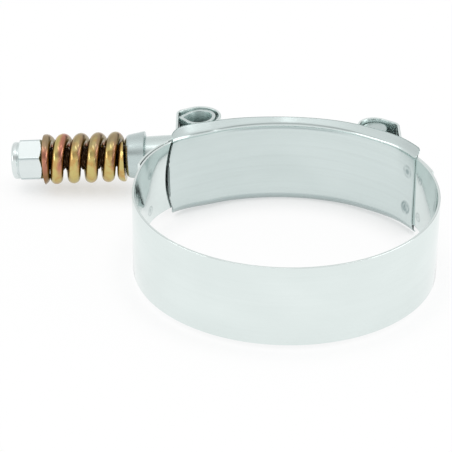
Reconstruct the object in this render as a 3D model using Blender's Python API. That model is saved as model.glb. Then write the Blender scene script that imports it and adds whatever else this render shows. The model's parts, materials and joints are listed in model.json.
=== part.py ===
"""Spring-loaded T-bolt hose clamp, modelled at its real size in metres with +Z up.

The ring's axis is vertical. The bolt runs behind the ring along +X, from the lock nut to the barrel
head. The origin is at the middle of the floor under the whole clamp. As on a clamp that lies loose on
a bench, the nut's end of the bolt hangs down a little in the slots of the band's loops.
"""

import math

import bmesh
import bpy
from mathutils import Vector

MM = 0.001

# Band: one strip, whose ends are folded into loops and turned back as tails
ring_radius = 36.0 * MM
left_swell = 1.1 * MM
right_swell = 0.3 * MM
shoulder_start = math.radians(58.0)
shoulder_end = math.radians(86.0)
band_thickness = 0.6 * MM
band_width = 20.0 * MM
band_edge_chamfer = 0.15 * MM
lower_edge_trim = 1.7 * MM
barrel_loop_trim = 1.7 * MM
barrel_tail_trim = 0.3 * MM
tail_gap = 0.15 * MM
tail_end_from_back = math.radians(71.5)
loop_slant = math.radians(31.0)
wall_corner_radius = 2.4 * MM
tail_foot_radius = 3.0 * MM
weld_radius = 1.6 * MM
weld_offset = 5.0 * MM
weld_from_tail_end = math.radians(7.0)

# Bridge plate: thin plate behind the gap, both edges flared outward over the band's edges
bridge_thickness = 0.5 * MM
bridge_gap = 0.5 * MM
bridge_bend_radius = 0.8 * MM
bridge_free_lip = 1.3 * MM
bridge_welded_lip = 2.0 * MM
bridge_middle_lip = 1.65 * MM
bridge_end_rise = 1.4 * MM
bridge_crease_inset = 0.4 * MM
bridge_corner_radius = 1.6 * MM
bridge_free_end = math.radians(55.0)
bridge_welded_end = math.radians(60.5)
bridge_free_bow = 1.9 * MM
bridge_swell_start = math.radians(33.0)
bridge_swell_end = math.radians(52.0)
flare_angle = math.radians(45.0)

# T-bolt, seated behind the ring
bolt_from_ring = 2.4 * MM
shank_radius = 2.7 * MM
thread_radius = 3.0 * MM
thread_chamfer = 0.6 * MM
thread_length = 36.0 * MM
barrel_radius = 3.2 * MM
barrel_length = 10.8 * MM
barrel_chamfer = 0.4 * MM
barrel_place = 22.1 * MM
barrel_to_wall = 5.6 * MM
bolt_end_inset = 0.6 * MM
bolt_droop = math.radians(3.8)
rock_place = 10.0 * MM

# Trunnion: teardrop tube with a round neck toward the spring
trunnion_place = 21.2 * MM
tube_radius = 3.9 * MM
tube_tip = 4.9 * MM
tube_wall = 0.75 * MM
tube_length = 20.8 * MM
neck_length = 15.9 * MM
neck_root_radius = 3.7 * MM
neck_radius = 5.0 * MM
neck_end_radius = 4.55 * MM
neck_end_taper = 1.8 * MM

# Spring cup
cup_length = 4.95 * MM
cup_end_radius = 5.5 * MM
cup_mouth_radius = 6.15 * MM
cup_wall = 0.9 * MM
cup_corner = 1.3 * MM

# Spring: left-hand, closed and ground ends
spring_length = 20.4 * MM
spring_outer_radius = 6.35 * MM
wire_diameter = 3.05 * MM
closed_turns = 0.5
closed_pitch = 0.72 * wire_diameter
open_turns = 4.43
spring_clocking = math.radians(-2.0)

# Lock nut with its nylon ring
nut_across_flats = 9.8 * MM
nut_height = 7.8 * MM
hex_height = 5.1 * MM
hex_chamfer = math.radians(30.0)
collar_radius = 4.67 * MM
collar_round = 0.9 * MM
insert_radius = 4.0 * MM
insert_height = 2.0 * MM
insert_lip = 0.6 * MM

# Clearances between pieces
loop_clearance = 0.25 * MM
slot_clearance = 0.35 * MM
bore_clearance = 0.3 * MM
seat_gap = 0.2 * MM
insert_gap = 0.1 * MM
collar_hole_clearance = 0.5 * MM

# Fineness of round forms
ring_step = math.radians(3.0)
loop_step = math.radians(11.25)
turned_steps = 32
wire_sides = 10
coil_steps = 24
slot_corner = 1.0 * MM
sharp_angle = math.radians(35.0)

# The bolt's axis behind the ring's centre, and the lean of the loops, halfway through the bolt's rock
bolt_axis_offset = ring_radius + bolt_from_ring
loop_lean = bolt_droop / 2

# The bolt pieces' places along the bolt's own axis, from the point about which the bolt rocks
barrel_at = (barrel_place + rock_place) / math.cos(bolt_droop)
trunnion_at = -(trunnion_place - rock_place) / math.cos(bolt_droop)
neck_end_at = trunnion_at - neck_length
cup_mouth_at = neck_end_at + neck_end_taper
cup_seat_at = cup_mouth_at - cup_length
spring_right_at = cup_seat_at - seat_gap
spring_left_at = spring_right_at - spring_length
nut_face_at = spring_left_at - seat_gap
nut_end_at = nut_face_at - nut_height
bolt_end_at = nut_end_at + bolt_end_inset
bore_radius = thread_radius + bore_clearance

# How far the clamp reaches below the ring's middle: the lip of the bridge's middle, or the tube's end
flat_half = band_width / 2 - bridge_crease_inset - bridge_bend_radius * math.tan(flare_angle / 2)
lip_rise = bridge_bend_radius * math.sin(flare_angle) + bridge_middle_lip * math.cos(flare_angle)
bridge_depth = flat_half + lip_rise + bridge_thickness / 2 * math.sin(flare_angle)
tube_depth = (tube_length / 2 * math.cos(bolt_droop) + (tube_tip - trunnion_at) * math.sin(bolt_droop))
clamp_depth = max(bridge_depth, tube_depth)

# The ring's centre, which puts the origin at the middle of the floor under the clamp
nut_reach = rock_place - nut_end_at * math.cos(bolt_droop) + collar_radius * math.sin(bolt_droop)
back_reach = bolt_axis_offset + spring_outer_radius
ring_centre = Vector(((nut_reach - ring_radius) / 2, (ring_radius - back_reach) / 2, clamp_depth))


def clear_scene():
    """Remove every object that the file holds."""
    for old in list(bpy.data.objects):
        bpy.data.objects.remove(old, do_unlink=True)


def metal(name, colour, roughness, metallic=1.0):
    """A Principled material with one colour."""
    made = bpy.data.materials.new(name)
    made.use_nodes = True
    shader = made.node_tree.nodes["Principled BSDF"]
    shader.inputs["Base Color"].default_value = (*colour, 1.0)
    shader.inputs["Roughness"].default_value = roughness
    shader.inputs["Metallic"].default_value = metallic
    return made


def place(name, form, finish, parent):
    """Put a bmesh into the scene as a named object under a parent, with its faces pointing out."""
    bmesh.ops.recalc_face_normals(form, faces=form.faces)
    mesh = bpy.data.meshes.new(name)
    form.to_mesh(mesh)
    form.free()
    mesh.shade_smooth()
    mesh.set_sharp_from_angle(angle=sharp_angle)
    if finish:
        mesh.materials.append(finish)
    made = bpy.data.objects.new(name, mesh)
    bpy.context.collection.objects.link(made)
    made.parent = parent
    return made


def marker(name, location, parent=None, turn=0.0):
    """An empty at a joint or a centre, turned about Y."""
    made = bpy.data.objects.new(name, None)
    made.location = location
    made.rotation_euler.y = turn
    made.empty_display_size = 5 * MM
    bpy.context.collection.objects.link(made)
    made.parent = parent
    return made


def combine(target, tool, operation):
    """Cut, join or intersect a piece with a tool, which stays as a guide that isn't built."""
    step = target.modifiers.new(tool.name, "BOOLEAN")
    step.operation = operation
    step.solver = "EXACT"
    step.object = tool
    tool.hide_render = True
    tool.display_type = "WIRE"


def arc(centre, radius, start, end, step):
    """Stations on an arc in a plane: points with their heading, counter-clockwise if end > start."""
    count = max(2, math.ceil(abs(end - start) / step))
    turn = math.copysign(math.pi / 2, end - start)
    stations = []
    for i in range(count + 1):
        angle = start + (end - start) * i / count
        point = (centre[0] + radius * math.cos(angle), centre[1] + radius * math.sin(angle))
        stations.append((point[0], point[1], angle + turn))
    return stations


def chain(*parts):
    """Join arcs into one path. Where one ends at the next one's start, the point is kept once."""
    path = []
    for part in parts:
        for station in part:
            if path and math.dist(path[-1][:2], station[:2]) < 1e-6:
                continue
            path.append(station)
    return path


def smooth(value):
    """Ease from 0 to 1 with no kink at either end."""
    held = min(max(value, 0.0), 1.0)
    return held * held * (3 - 2 * held)


def swell(from_back, full):
    """How far the ring stands outside its circle at an angle, where the loose ends spring open."""
    return full * smooth((shoulder_end - from_back) / (shoulder_end - shoulder_start))


def sweep(radius, start, end, side_swell):
    """Stations along the ring or a tail: an arc whose radius grows by the swell."""
    def point(angle):
        reach = radius + swell(math.pi / 2 - angle, side_swell)
        return reach * math.cos(angle), reach * math.sin(angle)

    count = math.ceil(abs(end - start) / ring_step)
    nudge = math.copysign(ring_step / 10, end - start)
    stations = []
    for i in range(count + 1):
        angle = start + (end - start) * i / count
        before, after = point(angle - nudge), point(angle + nudge)
        stations.append((*point(angle), math.atan2(after[1] - before[1], after[0] - before[0])))
    return stations


def offset(station, distance):
    """The point at a distance to the left of a station's heading."""
    x, y, heading = station[:3]
    return x - distance * math.sin(heading), y + distance * math.cos(heading)


def mirrored(path):
    """The same path on the other side of x = 0, walked the other way."""
    return [(-x, y, -heading, *rest) for x, y, heading, *rest in reversed(path)]


def loft(rows):
    """Faces between rings of points that match one to one, with a flat cap at each end."""
    form = bmesh.new()
    rings = [[form.verts.new(point) for point in row] for row in rows]
    for ring, following in zip(rings, rings[1:]):
        for i in range(len(ring)):
            j = (i + 1) % len(ring)
            form.faces.new((ring[i], ring[j], following[j], following[i]))
    form.faces.new(rings[0])
    form.faces.new(rings[-1])
    return form


def turned(profile, steps=turned_steps):
    """Spin a closed outline of (along, radius) points about the X axis."""
    form = bmesh.new()
    corners = [form.verts.new((along, 0, radius)) for along, radius in profile]
    edges = [form.edges.new((a, b)) for a, b in zip(corners, corners[1:] + corners[:1])]
    bmesh.ops.spin(form, geom=corners + edges, cent=(0, 0, 0), axis=(1, 0, 0), angle=2 * math.pi,
                   steps=steps, use_merge=True)
    bmesh.ops.remove_doubles(form, verts=form.verts, dist=1e-6)
    flat = [edge for edge in form.edges if not edge.link_faces]
    bmesh.ops.delete(form, geom=flat, context="EDGES")
    return form


def prism(outline, low, high):
    """Extrude a flat outline of (x, y) points upward."""
    form = bmesh.new()
    base = form.faces.new([form.verts.new((x, y, low)) for x, y in outline])
    grown = bmesh.ops.extrude_face_region(form, geom=[base])
    risen = [item for item in grown["geom"] if isinstance(item, bmesh.types.BMVert)]
    bmesh.ops.translate(form, verts=risen, vec=(0, 0, high - low))
    return form


def block(low, high, rounding):
    """A box between two corners, with rounded edges."""
    form = bmesh.new()
    bmesh.ops.create_cube(form, size=1.0)
    for vert in form.verts:
        for k in range(3):
            vert.co[k] = high[k] if vert.co[k] > 0 else low[k]
    bmesh.ops.bevel(form, geom=form.edges, offset=rounding, segments=3, profile=0.5, affect="EDGES")
    return form


def loop_half(place_x, inner_radius, wall_inside, side_swell, loop_trim, tail_trim):
    """The right half of the band's path, seen from above: ring, loop round a pin, wall and tail.

    The strip leaves the ring on a tangent, wraps clockwise round the pin, slants to the corner,
    comes back to the ring as the wall and follows it outside as the tail. Each station also holds
    the strip's lean there, how much is trimmed from both its edges, and how much at least from the
    lower one, which is cut back from the shoulder on to clear the bridge plate's lip.
    """
    half = band_thickness / 2
    ring = ring_radius - half
    fold = inner_radius + half
    pin = Vector((place_x, bolt_axis_offset))
    leaving = math.atan2(pin.y, pin.x) - math.acos((ring + side_swell + fold) / pin.length)
    wall_x = wall_inside + half
    corner = wall_corner_radius
    across = wall_x - corner - place_x
    corner_y = pin.y + (fold - corner - across * math.sin(loop_slant)) / math.cos(loop_slant)
    turned_to = math.pi / 2 - loop_slant
    foot = tail_foot_radius
    tail = ring_radius + tail_gap + half
    foot_y = math.sqrt((tail + side_swell + foot) ** 2 - (wall_x + foot) ** 2)
    landing = math.atan2(foot_y, wall_x + foot)
    tail_end = math.pi / 2 - tail_end_from_back
    ring_part = sweep(ring, -math.pi / 2, leaving, side_swell)
    loop_part = chain(arc(pin, fold, leaving + math.pi, turned_to, loop_step),
                      arc((wall_x - corner, corner_y), corner, turned_to, 0, loop_step * 2))
    tail_part = chain(arc((wall_x + foot, foot_y), foot, math.pi, math.pi + landing, loop_step),
                      sweep(tail, landing, tail_end, side_swell))
    ring_low = [swell(math.atan2(x, y), lower_edge_trim) for x, y, heading in ring_part]
    return ([(*station, 0.0, 0.0, low) for station, low in zip(ring_part, ring_low)]
            + [(*station, loop_lean, loop_trim, lower_edge_trim) for station in loop_part]
            + [(*station, 0.0, tail_trim, lower_edge_trim) for station in tail_part])


def strip_row(station):
    """The strip's section at a station, a flat rectangle with chamfered edges that may lean."""
    lean, trim, low = station[3:]
    side = band_thickness / 2
    top = band_width / 2 - trim
    bottom = max(trim, low) - band_width / 2
    cut = band_edge_chamfer
    section = [(side, bottom + cut), (side, top - cut), (side - cut, top), (cut - side, top),
               (-side, top - cut), (-side, bottom + cut), (cut - side, bottom), (side - cut, bottom)]
    points = []
    for across, up in section:
        x, y = offset(station, across)
        points.append((x - up * math.tan(lean), y, up))
    return points


def bolt_play(distance):
    """How far the bolt's axis moves from mid height where it passes a slot, as it rocks."""
    return distance * math.tan(bolt_droop)


def make_band(centre, finish):
    """The ring with its two loops and tails, slots for the bolt and the neck, and tail welds."""
    barrel_play = barrel_length / 2 * math.sin(bolt_droop - loop_lean)
    tube_play = tube_length / 2 * math.sin(bolt_droop - loop_lean)
    right_wall = barrel_place + barrel_to_wall
    left_wall = trunnion_place + tube_tip + tube_play + loop_clearance
    right = loop_half(barrel_place, barrel_radius + barrel_play + loop_clearance, right_wall,
                      right_swell, barrel_loop_trim, barrel_tail_trim)
    left = loop_half(trunnion_place, tube_radius + tube_play + loop_clearance, left_wall,
                     left_swell, 0.0, 0.0)
    path = chain(mirrored(left), right)
    band = place("band", loft([strip_row(station) for station in path]), finish, centre)

    beyond = bolt_axis_offset + tube_radius + 4 * band_thickness
    half = shank_radius + slot_clearance + bolt_play(barrel_place + rock_place)
    low = (barrel_place - 3 * barrel_radius, bolt_axis_offset - shank_radius - slot_clearance, -half)
    window = block(low, (barrel_place, beyond, half), slot_corner)
    combine(band, place("barrel_slot", window, None, centre), "DIFFERENCE")

    half = neck_radius + slot_clearance + bolt_play(left_wall - rock_place)
    low = (-left_wall - 3 * band_thickness, bolt_axis_offset - neck_radius - slot_clearance, -half)
    window = block(low, (3 * tube_radius - trunnion_place, beyond, half), slot_corner)
    combine(band, place("neck_slot", window, None, centre), "DIFFERENCE")

    weld_angle = tail_end_from_back - weld_from_tail_end
    for side, side_swell in ((-1, left_swell), (1, right_swell)):
        reach = ring_radius + tail_gap / 2 + swell(weld_angle, side_swell)
        for up in (-1, 1):
            form = bmesh.new()
            bmesh.ops.create_cone(form, segments=12, radius1=weld_radius, radius2=weld_radius,
                                  depth=band_thickness, cap_ends=True)
            weld = place(f"weld_{side}_{up}", form, None, centre)
            weld.location = (side * reach * math.sin(weld_angle), reach * math.cos(weld_angle),
                             up * weld_offset)
            weld.rotation_euler = (math.pi / 2, 0, -side * weld_angle)
            combine(band, weld, "UNION")
    return band


def bridge_row(angle, bow, lip):
    """The bridge plate's flared section, standing at an angle from the back, with this lip length.

    Its ends stand higher than its middle. Where the plate's end is bowed, each point stands back
    toward the middle by the square of its height.
    """
    side_swell = left_swell if angle < 0 else right_swell
    middle = ring_radius - band_thickness - bridge_gap - bridge_thickness / 2
    follow = smooth((abs(angle) - bridge_swell_start) / (bridge_swell_end - bridge_swell_start))
    middle += follow * swell(abs(angle), side_swell)
    rise = bridge_end_rise * smooth(abs(angle) / bridge_free_end)
    bend = bridge_bend_radius
    swing = arc((middle + bend, flat_half), bend, math.pi, math.pi - flare_angle, flare_angle / 3)
    x, z, heading = swing[-1]
    upper = swing + [(x + lip * math.cos(heading), z + lip * math.sin(heading), heading)]
    lower = [(r, -z, math.pi - heading) for r, z, heading in reversed(upper)]
    flat = [(middle, flat_half * step / 3, math.pi / 2) for step in (-2, -1, 0, 1, 2)]
    stations = lower + flat + upper
    outline = [offset(station, bridge_thickness / 2) for station in stations]
    outline += [offset(station, -bridge_thickness / 2) for station in reversed(stations)]
    row = []
    for r, z in outline:
        turned_by = angle + bow * (z / flat_half) ** 2 / ring_radius
        row.append((r * math.sin(turned_by), r * math.cos(turned_by), z + rise))
    return row


def make_bridge(centre, finish):
    """The plate swept round the back, its lips changing width and then rounded off toward both ends."""
    length = bridge_free_end + bridge_welded_end
    corner = bridge_corner_radius / ring_radius
    edge_angles = [corner * (1 - math.cos(math.pi / 2 * k / 4)) for k in range(5)]
    count = math.ceil((length - 2 * corner) / ring_step)
    middle_angles = [corner + (length - 2 * corner) * k / count for k in range(1, count)]
    angles = edge_angles + middle_angles + [length - angle for angle in reversed(edge_angles)]
    rows = []
    for angle in angles:
        near = min(angle, length - angle, corner) / corner
        drop = bridge_corner_radius * (1 - math.sqrt(1 - (1 - near) ** 2))
        from_back = angle - bridge_free_end
        change = smooth(abs(from_back) / bridge_swell_end)
        end_lip = bridge_free_lip if from_back < 0 else bridge_welded_lip
        lip = bridge_middle_lip + (end_lip - bridge_middle_lip) * change - drop
        bow = bridge_free_bow * smooth(-from_back / bridge_free_end)
        rows.append(bridge_row(from_back, bow, lip))
    return place("bridge_plate", loft(rows), finish, centre)


def make_bolt(axis, finish):
    """Threaded shank and barrel head, forged as one."""
    thread_end = bolt_end_at + thread_length
    outline = [
        (bolt_end_at, 0),
        (bolt_end_at, thread_radius - thread_chamfer),
        (bolt_end_at + thread_chamfer, thread_radius),
        (thread_end, thread_radius),
        (thread_end + thread_radius - shank_radius, shank_radius),
        (barrel_at, shank_radius),
        (barrel_at, 0),
    ]
    bolt = place("t_bolt", turned(outline), finish, axis)
    end = barrel_length / 2
    cut = barrel_chamfer
    outline = [(-end, 0), (-end, barrel_radius - cut), (cut - end, barrel_radius),
               (end - cut, barrel_radius), (end, barrel_radius - cut), (end, 0)]
    barrel = place("barrel", turned(outline), None, axis)
    barrel.location.x = barrel_at
    barrel.rotation_euler.y = -math.pi / 2
    combine(bolt, barrel, "UNION")
    return bolt


def teardrop(radius, tip):
    """Outline round the origin: a circle drawn out to a blunt tip toward -X."""
    touch = math.acos(radius / tip)
    stations = arc((0, 0), radius, touch - math.pi, math.pi - touch, loop_step)
    return [(x, y) for x, y, heading in stations] + [(-tip, 0)]


def make_trunnion(axis, finish):
    """Rolled teardrop tube across the loop, with the neck that the bolt passes through."""
    half = tube_length / 2
    tube = prism(teardrop(tube_radius, tube_tip), -half, half)
    trunnion = place("trunnion", tube, finish, axis)
    trunnion.location.x = trunnion_at
    outline = [
        (-neck_length, 0),
        (-neck_length, neck_end_radius),
        (-neck_length + neck_end_taper, neck_radius - tube_wall / 4),
        (-tube_tip - tube_wall, neck_radius),
        (-tube_tip + tube_wall, neck_radius),
        (0, neck_root_radius),
        (0, 0),
    ]
    neck = place("neck", turned(outline), None, trunnion)
    combine(trunnion, neck, "UNION")
    hollow_radius = tube_radius - tube_wall
    hollow_tip = tube_tip - tube_wall * tube_tip / tube_radius
    hollow = prism(teardrop(hollow_radius, hollow_tip), -half - tube_wall, half + tube_wall)
    combine(trunnion, place("tube_hollow", hollow, None, trunnion), "DIFFERENCE")
    bore = turned([(-neck_length - tube_wall, 0), (-neck_length - tube_wall, bore_radius),
                   (2 * tube_radius, bore_radius), (2 * tube_radius, 0)])
    combine(trunnion, place("bolt_bore", bore, None, trunnion), "DIFFERENCE")
    return trunnion


def make_cup(axis, finish):
    """Drawn cup: closed toward the spring but for the bolt's hole, widening to its mouth."""
    middle = (cup_corner, cup_end_radius - cup_corner)
    outside = arc(middle, cup_corner, math.pi / 2, math.pi, loop_step * 2)
    inside = arc(middle, cup_corner - cup_wall, math.pi, math.pi / 2, loop_step * 2)
    outline = [(cup_length, cup_mouth_radius)]
    outline += [(x, y) for x, y, heading in outside]
    outline += [(0, bore_radius), (cup_wall, bore_radius)]
    outline += [(x, y) for x, y, heading in inside]
    outline += [(cup_length, cup_mouth_radius - cup_wall)]
    cup = place("spring_cup", turned(outline), finish, axis)
    cup.location.x = cup_seat_at
    return cup


def coil_row(turns):
    """The wire's round section after some turns from the coil's tip, in the plane of the axis.

    The wire's middle starts a quarter of its thickness outside the plane that the end is ground to.
    """
    last = closed_turns + open_turns
    tip = -wire_diameter / 4
    closed_rise = tip + closed_pitch * closed_turns
    if turns < closed_turns:
        along = tip + closed_pitch * turns
    elif turns > last:
        along = spring_length - closed_rise + closed_pitch * (turns - last)
    else:
        along = closed_rise + (spring_length - 2 * closed_rise) * (turns - closed_turns) / open_turns
    angle = spring_clocking + 2 * math.pi * turns
    outward = Vector((0, -math.sin(angle), -math.cos(angle)))
    wire = wire_diameter / 2
    middle = Vector((along, 0, 0)) + outward * (spring_outer_radius - wire)
    row = []
    for k in range(wire_sides):
        around = 2 * math.pi * k / wire_sides
        row.append(middle + outward * wire * math.cos(around) + Vector((wire * math.sin(around), 0, 0)))
    return row


def make_spring(axis, finish):
    """Left-hand coil whose two closed ends are ground flat, to stand square on the nut and the cup."""
    total = open_turns + 2 * closed_turns
    count = round(total * coil_steps)
    rows = [coil_row(total * i / count) for i in range(count + 1)]
    spring = place("spring", loft(rows), finish, axis)
    spring.location.x = spring_left_at
    reach = spring_outer_radius + wire_diameter
    ground = turned([(0, 0), (0, reach), (spring_length, reach), (spring_length, 0)], wire_sides)
    combine(spring, place("ground_ends", ground, None, spring), "INTERSECT")
    return spring


def make_nut(turning, finish):
    """Hexagon with chamfered corners and a round collar, which is crimped over the nylon ring."""
    flat = nut_across_flats / 2
    corner = flat / math.cos(math.pi / 6)
    hexagon = turned([(-hex_height, 0), (-hex_height, corner), (0, corner), (0, 0)], 6)
    nut = place("lock_nut", hexagon, finish, turning)
    slope = (corner - flat) * math.tan(hex_chamfer)
    envelope = turned([(-hex_height, 0), (-hex_height, flat), (-hex_height + slope, corner),
                       (-slope, corner), (0, flat), (0, 0)])
    combine(nut, place("nut_chamfers", envelope, None, nut), "INTERSECT")

    rounding = arc((collar_round - nut_height, collar_radius - collar_round), collar_round,
                   math.pi, math.pi / 2, loop_step * 2)
    outline = [(-nut_height, 0)] + [(x, y) for x, y, heading in rounding]
    outline += [(-hex_height / 2, collar_radius), (-hex_height / 2, 0)]
    combine(nut, place("nut_collar", turned(outline), None, nut), "UNION")

    groove_start = -nut_height + insert_lip
    groove_end = groove_start + insert_height + 2 * insert_gap
    inside = turned([
        (-nut_height - insert_lip, 0),
        (-nut_height - insert_lip, thread_radius + collar_hole_clearance),
        (groove_start, thread_radius + collar_hole_clearance),
        (groove_start, insert_radius + insert_gap),
        (groove_end, insert_radius + insert_gap),
        (groove_end, bore_radius),
        (-thread_chamfer, bore_radius),
        (thread_chamfer, bore_radius + 2 * thread_chamfer),
        (thread_chamfer, 0),
    ])
    combine(nut, place("nut_inside", inside, None, nut), "DIFFERENCE")
    return nut


def make_insert(turning, finish):
    """The nylon ring that grips the thread, held in the nut's collar."""
    start = -nut_height + insert_lip + insert_gap
    end = start + insert_height
    return place("nylon_insert", turned([(start, bore_radius), (start, insert_radius),
                                         (end, insert_radius), (end, bore_radius)]), finish, turning)


clear_scene()
stainless = metal("stainless_strip", (0.80, 0.82, 0.81), 0.22)
drawn_steel = metal("drawn_steel", (0.74, 0.77, 0.77), 0.32)
bright_zinc = metal("bright_zinc", (0.84, 0.86, 0.86), 0.28)
yellow_chromate = metal("yellow_chromate", (0.72, 0.50, 0.16), 0.25)
nylon = metal("natural_nylon", (0.88, 0.87, 0.82), 0.45, metallic=0.0)

centre_marker = marker("ring_centre", ring_centre)
rock_marker = marker("bolt_rock", (-rock_place, bolt_axis_offset, 0), centre_marker, -bolt_droop)
nut_marker = marker("nut_turn", (nut_face_at, 0, 0), rock_marker)

make_band(centre_marker, stainless)
make_bridge(centre_marker, stainless)
make_bolt(rock_marker, drawn_steel)
make_trunnion(rock_marker, drawn_steel)
make_cup(rock_marker, drawn_steel)
make_spring(rock_marker, yellow_chromate)
make_nut(nut_marker, bright_zinc)
make_insert(nut_marker, nylon)
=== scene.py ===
"""A spring-loaded T-bolt hose clamp, lying on a pale bench, drawn round its CAD solids in metres."""

import json
import math

import bmesh
import bpy
import numpy as np
from mathutils import Matrix, Vector


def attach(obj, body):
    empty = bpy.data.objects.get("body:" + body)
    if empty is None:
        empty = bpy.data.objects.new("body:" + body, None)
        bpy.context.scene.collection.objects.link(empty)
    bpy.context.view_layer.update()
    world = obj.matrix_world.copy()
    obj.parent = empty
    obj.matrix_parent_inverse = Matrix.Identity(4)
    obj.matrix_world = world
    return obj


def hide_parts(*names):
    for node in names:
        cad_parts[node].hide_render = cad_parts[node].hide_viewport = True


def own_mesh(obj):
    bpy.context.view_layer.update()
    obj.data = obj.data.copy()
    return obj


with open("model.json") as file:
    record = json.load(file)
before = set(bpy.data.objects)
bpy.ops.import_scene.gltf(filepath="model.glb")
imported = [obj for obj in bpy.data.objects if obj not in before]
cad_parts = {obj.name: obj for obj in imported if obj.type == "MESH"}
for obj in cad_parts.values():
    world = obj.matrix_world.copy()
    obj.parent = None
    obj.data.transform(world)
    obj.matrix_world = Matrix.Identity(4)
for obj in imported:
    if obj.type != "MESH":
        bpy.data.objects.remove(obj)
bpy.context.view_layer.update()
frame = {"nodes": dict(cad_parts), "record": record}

# Band. One strip of bright rolled stainless steel, 20 mm wide and 0.6 mm thick, bent round as
# the ring. Each end is folded back round its pin as a loop and spot-welded down as a tail. The
# loops are slotted for the bolt and the trunnion's neck, and the right one is cut narrower.
joints = {joint["name"]: joint for joint in frame["record"]["behaviour"]["joints"]}
MM = 0.001
ring_radius = 36.0 * MM
strip_thickness = 0.6 * MM
strip_half_width = 10.0 * MM
strip_edge_round = 0.16 * MM
tail_gap = 0.22 * MM
tail_end = math.radians(18.5)
left_swell = 1.1 * MM
right_swell = 0.3 * MM
shoulder_start = math.radians(58.0)
shoulder_end = math.radians(86.0)
lower_edge_trim = 1.85 * MM
pin_depth = 38.4 * MM
loop_slant = math.radians(31.0)
loop_lean = math.radians(1.9)
wall_corner = 2.4 * MM
tail_foot = 3.0 * MM
station_step = 0.35 * MM
left_loop = {"pin_x": 21.2 * MM, "fold": 4.795 * MM, "wall_x": 26.995 * MM, "spread": left_swell,
             "trim": 0.0, "tail_trim": 0.0}
right_loop = {"pin_x": 22.1 * MM, "fold": 3.929 * MM, "wall_x": 28.0 * MM, "spread": right_swell,
              "trim": 1.7 * MM, "tail_trim": 0.45 * MM}
bolt_slot = ((12.5 * MM, 35.35 * MM, -5.18 * MM), (22.1 * MM, 45.0 * MM, 5.18 * MM))
neck_slot = ((-28.5 * MM, 33.05 * MM, -6.46 * MM), (-9.5 * MM, 45.0 * MM, 6.46 * MM))
slot_round = 1.0 * MM
weld_from_back = 64.5
weld_height = 5.0 * MM
weld_reach = 36.2 * MM
pressed_shade = (0.44, 0.50, 0.51)
bent_roughness = 0.20

rock = np.array(joints["bolt_rock"]["pos_m"])
rock_aside = 10.0 * MM
ring_centre = rock + np.array((rock_aside, -pin_depth, 0.0))


def smooth(value):
    """3v^2 - 2v^3 on v held between 0 and 1: an ease with no kink at either end."""
    held = np.clip(value, 0.0, 1.0)
    return held * held * (3 - 2 * held)


def swell(from_back, full):
    """A full measure that is reached over the shoulder: eased from 86 degrees off the back to 58."""
    return full * smooth((shoulder_end - from_back) / (shoulder_end - shoulder_start))


def arc(centre, radius, start, end, step=math.radians(2.0)):
    """Points on an arc: the centre plus radius times (cos, sin) of evenly spaced angles."""
    angle = np.linspace(start, end, max(3, int(abs(end - start) / step) + 1))
    return np.stack([centre[0] + radius * np.cos(angle), centre[1] + radius * np.sin(angle)], axis=1)


def sweep(radius, start, end, spread):
    """Points on the ring or a tail: (r + swell) times (cos, sin), with the swell taken from the back."""
    angle = np.linspace(start, end, max(3, int(abs(end - start) / math.radians(1.0)) + 1))
    reach = radius + swell(math.pi / 2 - angle, spread)
    return np.stack([reach * np.cos(angle), reach * np.sin(angle)], axis=1)


def half_path(pin_x, fold, wall_x, spread, trim, tail_trim):
    """Half of the strip's middle line: ring, tangent, loop, corner, wall, tail.

    The strip leaves the ring where the line that touches both the ring and the pin's circle starts.
    The further columns are its lean, the trim of both its edges, and the least trim of the lower one.
    """
    half = strip_thickness / 2
    ring = ring_radius - half
    pin_far = math.hypot(pin_x, pin_depth)
    leaving = math.atan2(pin_depth, pin_x) - math.acos((ring + spread + fold) / pin_far)
    across = wall_x - wall_corner - pin_x
    corner_y = pin_depth + (fold - wall_corner - across * math.sin(loop_slant)) / math.cos(loop_slant)
    turn = math.pi / 2 - loop_slant
    tail = ring_radius + tail_gap + half
    foot_y = math.sqrt((tail + spread + tail_foot) ** 2 - (wall_x + tail_foot) ** 2)
    landing = math.atan2(foot_y, wall_x + tail_foot)
    parts = [
        (sweep(ring, -math.pi / 2, leaving, spread), 0.0, 0.0),
        (arc((pin_x, pin_depth), fold, leaving + math.pi, turn), loop_lean, trim),
        (arc((wall_x - wall_corner, corner_y), wall_corner, turn, 0.0), loop_lean, trim),
        (arc((wall_x + tail_foot, foot_y), tail_foot, math.pi, math.pi + landing), 0.0, tail_trim),
        (sweep(tail, landing, tail_end, spread)[1:], 0.0, tail_trim),
    ]
    lows = [swell(np.arctan2(parts[0][0][:, 0], parts[0][0][:, 1]), lower_edge_trim)]
    lows += [np.full(len(line), lower_edge_trim) for line, lean, cut in parts[1:]]
    columns = []
    for (line, lean, cut), low in zip(parts, lows):
        columns.append(np.column_stack([line, np.full(len(line), lean), np.full(len(line), cut), low]))
    return np.concatenate(columns)


def even(path, step):
    """The same path with stations an even step apart, its other columns carried along."""
    run = np.concatenate([[0.0], np.cumsum(np.linalg.norm(np.diff(path[:, :2], axis=0), axis=1))])
    stations = np.linspace(0.0, run[-1], int(run[-1] / step) + 1)
    return np.stack([np.interp(stations, run, column) for column in path.T], axis=1)


def normals_of(path):
    """Unit normals to the left of a path: the tangent, from central differences, turned a quarter."""
    tangent = np.gradient(path, axis=0)
    tangent /= np.linalg.norm(tangent, axis=1, keepdims=True)
    return np.stack([-tangent[:, 1], tangent[:, 0]], axis=1)


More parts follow.
